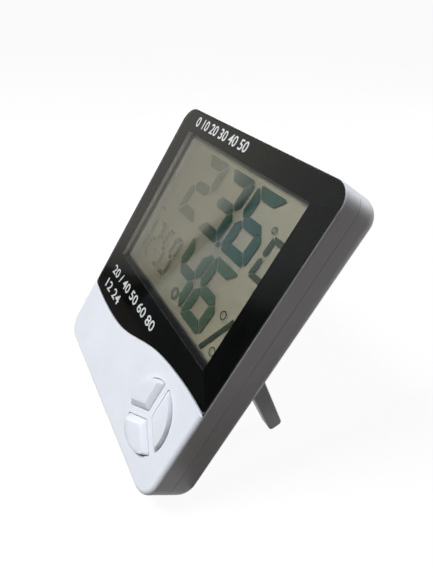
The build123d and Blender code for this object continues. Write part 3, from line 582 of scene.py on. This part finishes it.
temperature = row(
    (("2", -22.9), ("3", -5.8), ("6", 11.9)), TEMPERATURE_FOOT, width=15.6, height=24.4, thick=4.0
)
lit_piece("temperature_digits", temperature + [disc(9.6, 74.8, radius=1.0)], ink_dark)
degree = segments("C", 30.2, DEGREE_FOOT, width=9.0, height=14.2, thick=2.0, gap=0.2)
lit_piece("degree_sign", degree + ring(29.5, 89.4, radius=1.1, thick=CIRCLE_LINE), ink_line)
humidity = row((("4", -5.0), ("6", 11.2)), HUMIDITY_FOOT, width=15.1, height=24.4, thick=4.0)
lit_piece("humidity_digits", humidity, ink_low)
percent = (
    [bar((35.7, 60.9), (28.5, 46.4), thick=1.5)]
    + ring(30.3, 59.6, radius=1.5, thick=CIRCLE_LINE)
    + ring(34.7, 49.0, radius=1.5, thick=CIRCLE_LINE)
)
lit_piece("percent_sign", percent, ink_line)
time_of_day = row(
    (("1", -38.0), ("2", -30.5), ("5", -21.3), ("9", -14.5)),
    TIME_FOOT, width=5.6, height=15.8, thick=1.7,
)
colon = [disc(-23.0, 61.9, radius=0.8), disc(-23.4, 55.7, radius=0.8)]
lit_piece("time_digits", time_of_day + colon, ink_faint)
dot_and_dash = (
    ring(2.7, TIME_FOOT, radius=2.2, thick=0.8)
    + [bar((-34.4, 70.7), (-31.3, 70.7), thick=1.0)]
)
lit_piece("small_icons", dot_and_dash, ink_low)

# Scale numbers printed on the black border
TYPE_WEIGHT = 0.012
TYPE_HALF = 0.02


def scale_numbers(name, text, left, foot, height, width):
    """Row of plain numbers, fitted to a height and a width."""
    curve = bpy.data.curves.new(name + "_line", "FONT")
    curve.body = text
    curve.size = 1.0
    curve.offset = TYPE_WEIGHT
    curve.extrude = TYPE_HALF
    source = in_scene(name + "_line", curve)
    bpy.context.view_layer.update()
    depsgraph = bpy.context.evaluated_depsgraph_get()
    mesh = bpy.data.meshes.new_from_object(source.evaluated_get(depsgraph))
    bpy.data.objects.remove(source)
    xs = [vertex.co.x for vertex in mesh.vertices]
    ys = [vertex.co.y for vertex in mesh.vertices]
    across = width / (max(xs) - min(xs))
    up = height / (max(ys) - min(ys))
    for vertex in mesh.vertices:
        x, z, depth = vertex.co
        place = (left + (x - min(xs)) * across, mask_low.y - depth, foot + (z - min(ys)) * up)
        vertex.co = CLOCK @ Vector(place)
    mesh.materials.clear()
    mesh.materials.append(white_print)
    made = in_scene(name, mesh)
    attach(made, "case")


scale_numbers(
    "scale_numbers_top", "0 10 20 30 40 50", left=-38.5, foot=104.0, height=3.9, width=38.5
)
scale_numbers(
    "scale_numbers_low", "20 / 40 50 60 80", left=-40.7, foot=35.1, height=4.0, width=46.4
)
scale_numbers("scale_numbers_side", "12 24", left=-40.8, foot=28.1, height=4.1, width=16.8)

# Floor, world and cards
FLOOR_HALF = 12.0
FLOOR_CELLS = 8
# The floor's tone for the light that it throws back at the clock
FLOOR_BOUNCE = (0.10, 0.088, 0.078, 1.0)
FLOOR_GLOW = 1.04
FLOOR_GLOW_SHARE = 0.9
AMBIENT_COLOUR = (1.0, 0.87, 0.79, 1.0)
AMBIENT = 0.14
BACKDROP = 0.97


def floor():
    """Pale floor that the camera, gloss and glass see as white, and that keeps the shadow."""
    shader = material("floor_pale")
    seen = shader.seen()
    pale = shader.mottle(scale=4.0, first=0.78, second=0.82)
    matte = shader.principled(shader.blend(seen, FLOOR_BOUNCE, pale), roughness=0.9)
    glow = shader.add("ShaderNodeEmission", {"Color": (1, 1, 1, 1), "Strength": FLOOR_GLOW})
    share = shader.math("MULTIPLY", seen, FLOOR_GLOW_SHARE)
    finish = shader.done(shader.mix(share, matte, glow.outputs[0]))
    bm = bmesh.new()
    bmesh.ops.create_grid(
        bm, x_segments=FLOOR_CELLS, y_segments=FLOOR_CELLS, size=FLOOR_HALF
    )
    mesh_object("floor", bm, finish)


def studio_world():
    """Dim warm light from all round, which shows as a white backdrop."""
    studio = bpy.data.worlds.new("studio")
    bpy.context.scene.world = studio
    shader = Shader(studio, "ShaderNodeOutputWorld")
    light = shader.add("ShaderNodeBackground", {"Color": AMBIENT_COLOUR, "Strength": AMBIENT})
    white = shader.add("ShaderNodeBackground", {"Color": (1, 1, 1, 1), "Strength": BACKDROP})
    shader.done(shader.mix(shader.seen(), light.outputs[0], white.outputs[0]))


floor()
studio_world()


def card(name, middle, across, up, half_width, half_height, surface, diffuse=True):
    """Flat studio card that the camera doesn't see. Without diffuse it shows in gloss alone."""
    bm = bmesh.new()
    for x, z in ((-1, -1), (1, -1), (1, 1), (-1, 1)):
        bm.verts.new((x * half_width, 0, z * half_height))
    bm.faces.new(bm.verts)
    made = mesh_object(name, bm, surface)
    across, up = Vector(across), Vector(up)
    made.matrix_world = Matrix.Translation(Vector(middle)) @ turned(across, up.cross(across), up)
    made.visible_camera = False
    made.visible_shadow = False
    made.visible_diffuse = diffuse


# The room card in its own metres: X runs across it and Z up it
DOOR_LEAN = 0.12
WALL_STRETCH = (-0.3, 0.5)
DOOR_TOP = (0.38, 0.46)
LEFT_SLOPE, LEFT_FADE = 0.85, (0.05, 0.28)
RIGHT_SLOPE, RIGHT_FADE = 1.2, (-0.05, 0.3)


def room_wall():
    """What stands before the clock and shows in its gloss: pale wall, door edge, dim foot."""
    shader = material("room_wall")
    spot = shader.split()

    def above_line(slope):
        """Height over a line that rises by slope towards the right."""
        return shader.math("ADD", spot["Z"], shader.math("MULTIPLY", spot["X"], -slope))

    door_lean = shader.math("MULTIPLY", spot["Z"], DOOR_LEAN)
    across = shader.grade(shader.math("ADD", spot["X"], door_lean), *WALL_STRETCH)
    door = shader.ramp(across, [
        (0.0, (0.66, 0.64, 0.58)),
        (0.35, (0.62, 0.60, 0.54)),
        (0.365, (0.07, 0.07, 0.06)),
        (0.395, (0.07, 0.075, 0.07)),
        (0.41, (0.50, 0.55, 0.60)),
        (0.45, (0.44, 0.48, 0.52)),
        (0.52, (0.38, 0.41, 0.42)),
        (1.0, (0.38, 0.41, 0.40)),
    ])
    above = shader.ramp(across, [
        (0.0, (0.66, 0.64, 0.58)),
        (0.3, (0.56, 0.56, 0.50)),
        (0.45, (0.46, 0.48, 0.46)),
        (1.0, (0.38, 0.41, 0.40)),
    ])
    wall = shader.blend(shader.grade(spot["Z"], *DOOR_TOP), door, above)
    dim_left = shader.ramp(
        shader.grade(above_line(LEFT_SLOPE), *LEFT_FADE),
        [(0.0, 0.06), (0.165, 0.13), (0.22, 0.36), (0.35, 0.53), (0.57, 0.8), (0.87, 1.0)],
    )
    dim_right = shader.ramp(
        shader.grade(above_line(RIGHT_SLOPE), *RIGHT_FADE),
        [(0.0, 0.1), (0.2, 0.14), (0.37, 0.55), (0.8, 1.0)],
    )
    past_door = shader.ramp(across, [(0.39, 0.0), (0.41, 1.0)])
    dim = shader.blend(past_door, dim_left, dim_right)
    tone = shader.blend(1.0, wall, dim, "MULTIPLY")
    return shader.done(shader.add("ShaderNodeEmission", {"Color": tone}).outputs[0])


def dark_felt():
    """Dull dark cloth of the cards that keep light off."""
    shader = material("dark_felt")
    tone = shader.mottle(scale=6.0, first=(0.04, 0.032, 0.028), second=(0.06, 0.048, 0.042))
    return shader.done(shader.principled(tone, roughness=0.95))


felt = dark_felt()
# What the lens mirrors for the camera lies along OUT, to the clock's left and front
OUT = (-0.8, -0.6, 0.0)
ACROSS = (0.6, -0.8, 0.0)
card(
    "room_card", middle=(-0.8, -0.6, 0.0), across=ACROSS, up=(0, 0, 1),
    half_width=1.6, half_height=1.2, surface=room_wall(), diffuse=False,
)
card(
    "low_card", middle=(-0.56, -0.42, 0.004), across=ACROSS, up=OUT,
    half_width=0.9, half_height=0.42, surface=felt, diffuse=False,
)
card(
    "low_right", middle=(0.065, 0.04, 0.003), across=(0, 1, 0), up=(1, 0, 0),
    half_width=0.06, half_height=0.02, surface=felt,
)
card(
    "felt_right", middle=(0.3, 0.05, 0.3), across=(0, 1, 0), up=(0, 0, 1),
    half_width=0.6, half_height=0.5, surface=felt,
)

# Lamps
LAMP_AIM = Vector((0, 0, 0.05))
LAMP_COLOUR = (0.96, 0.98, 1.0)


def softbox(name, place, width, power):
    """Square lamp that points at the clock and that the camera doesn't see."""
    light = bpy.data.lights.new(name, "AREA")
    light.shape = "RECTANGLE"
    light.size = width
    light.size_y = width
    light.energy = power
    light.color = LAMP_COLOUR
    made = in_scene(name, light)
    made.location = place
    made.rotation_euler = (LAMP_AIM - Vector(place)).to_track_quat("-Z", "Y").to_euler()
    made.visible_camera = False
    return made


key_lamp = softbox("key_light", place=(-0.128, -0.419, 0.778), width=0.3, power=8.0)
# From straight in front its white square would stand in the lens
key_lamp.visible_glossy = False
softbox("back_light", place=(0, 0.64, 0.30), width=0.4, power=1.6)

# Camera, fitted to the outline of the case in the photograph, in the clock's millimetres
EYE = Vector((130.50, -88.86, 99.25))
LOOK = Vector((-0.74200, 0.62625, -0.23924))
LOOK_RIGHT = Vector((0.45373, 0.73184, 0.50847))
FOCAL_PIXELS = 465.63
LONG_SIDE_PIXELS = 577
SENSOR_MM = 36.0
CLIP_START, CLIP_END = 0.005, 60.0
CLEAR_LAYERS = 32

camera = bpy.data.cameras.new("camera")
camera.sensor_width = SENSOR_MM
camera.lens = FOCAL_PIXELS / LONG_SIDE_PIXELS * SENSOR_MM
camera.clip_start = CLIP_START
camera.clip_end = CLIP_END
view = in_scene("camera", camera)
turn = CLOCK.to_3x3() * (1 / MM)
look, across = turn @ LOOK.normalized(), turn @ LOOK_RIGHT.normalized()
view.matrix_world = Matrix.Translation(CLOCK @ EYE) @ turned(across, across.cross(look), -look)
bpy.context.scene.camera = view
bpy.context.scene.view_settings.view_transform = "Standard"
bpy.context.scene.cycles.transparent_max_bounces = CLEAR_LAYERS
